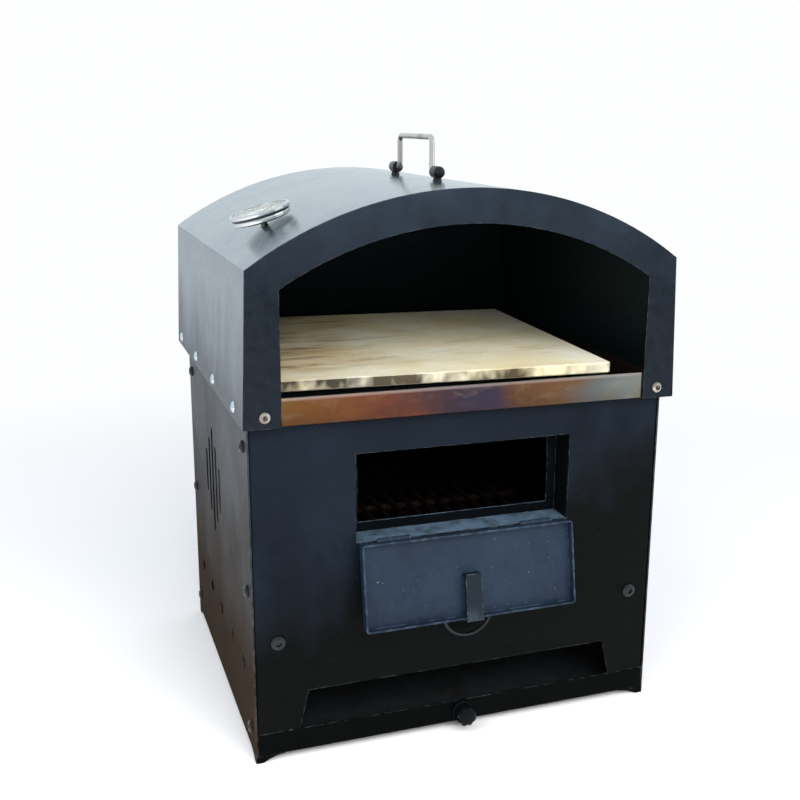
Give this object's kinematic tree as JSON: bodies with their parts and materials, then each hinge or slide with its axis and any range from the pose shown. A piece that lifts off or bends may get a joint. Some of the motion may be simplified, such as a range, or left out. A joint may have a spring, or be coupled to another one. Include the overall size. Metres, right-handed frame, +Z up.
{
  "type": "outdoor pizza oven",
  "caption": "Wood-fired tabletop pizza oven: sheet steel firebox with a drop-down fire door and ash drawer under an arched hood with a stone shelf, thermometer and bail handle.",
  "frame": {"origin": "centre of the cabinet footprint, on the surface that the corner feet stand on", "axes": "+X to the right seen from the front, +Y to the back, +Z up; the mouth faces -Y"},
  "size_m": [0.4046, 0.4168, 0.545],
  "materials": {
    "panel_black": "satin high-temperature black paint",
    "hood_black": "satin high-temperature black paint",
    "door_black": "satin high-temperature black paint",
    "inner_steel": "dull black, sooted by the fire",
    "grate_iron": "burnt dark steel bars",
    "tinted_steel": "stainless sheet tinted gold and violet by heat",
    "bright_steel": "bare stainless rod",
    "zinc": "bright zinc plate",
    "black_screw": "blackened steel",
    "stone": "beige baking stone, sooted in places",
    "knob_plastic": "black moulded grip",
    "gauge_chrome": "polished case",
    "gauge_face": "pale printed dial",
    "pointer": "red pointer",
    "glass": "flat clear glass"
  },
  "bodies": {
    "oven": {"front_panel": "panel_black", "back_panel": "panel_black", "side_panel_left": "panel_black", "side_panel_right": "panel_black", "base_pan": "panel_black", "corner_feet": "panel_black", "fire_casing": "door_black", "hinge_frame_leaves": "black_screw", "hinge_pins": "bright_steel", "grate_rail_left": "inner_steel", "grate_rail_right": "inner_steel", "side_screws_left": "black_screw", "side_screws_right": "black_screw", "grate_screws": "black_screw", "hood_face": "hood_black", "hood_shell": "hood_black", "hood_back": "hood_black", "shelf_tray": "tinted_steel", "stone_rails": "inner_steel", "hood_rivets": "zinc", "hood_bolts": "bright_steel", "hood_bolt_nuts": "zinc", "handle_barrel_front": "black_screw", "handle_barrel_rear": "black_screw", "handle_nuts": "zinc", "gauge_case": "gauge_chrome", "gauge_dial": "gauge_face", "gauge_glass": "glass", "gauge_nut": "zinc"},
    "fire_door": {"fire_door": "door_black", "door_strap": "door_black", "hinge_door_leaves": "black_screw"},
    "ring_pull": {"door_ring": "black_screw"},
    "ash_drawer": {"ash_drawer": "inner_steel", "drawer_strip": "panel_black", "drawer_knob": "knob_plastic", "knob_screw": "zinc"},
    "handle": {"bail_handle": "bright_steel"},
    "pointer": {"gauge_pointer": "pointer"},
    "stone": {"baking_stone": "stone"},
    "grate": {"fire_grate": "grate_iron"}
  },
  "joints": [
    {"name": "fire_door_hinge", "type": "hinge", "parent": "oven", "child": "fire_door", "pos_m": [0, -0.1718, 0.198], "axis": [1, 0, 0], "range_deg": [-170, 0]},
    {"name": "ring_swing", "type": "hinge", "parent": "fire_door", "child": "ring_pull", "pos_m": [0, -0.17861, 0.14558], "axis": [1, 0, 0], "range_deg": [0, 170]},
    {"name": "ash_drawer_slide", "type": "slide", "parent": "oven", "child": "ash_drawer", "axis": [0, -1, 0], "range_m": [0, 0.24]},
    {"name": "handle_fold", "type": "hinge", "parent": "oven", "child": "handle", "pos_m": [0, -0.023, 0.5115], "axis": [0, 1, 0], "range_deg": [-88, 88]},
    {"name": "pointer_turn", "type": "hinge", "parent": "oven", "child": "pointer", "pos_m": [-0.15922, -0.073, 0.47526], "axis": [-0.2924, 0, 0.9563], "range_deg": [-80, 180]},
    {"name": "stone_lift", "type": "slide", "parent": "oven", "child": "stone", "axis": [0, 0, 1], "range_m": [0, 0.04]},
    {"name": "grate_lift", "type": "slide", "parent": "oven", "child": "grate", "axis": [0, 0, 1], "range_m": [0, 0.04]}
  ],
  "couplings": [
    {"joint": "ring_swing", "follows": "fire_door_hinge", "ratio": -1}
  ]
}
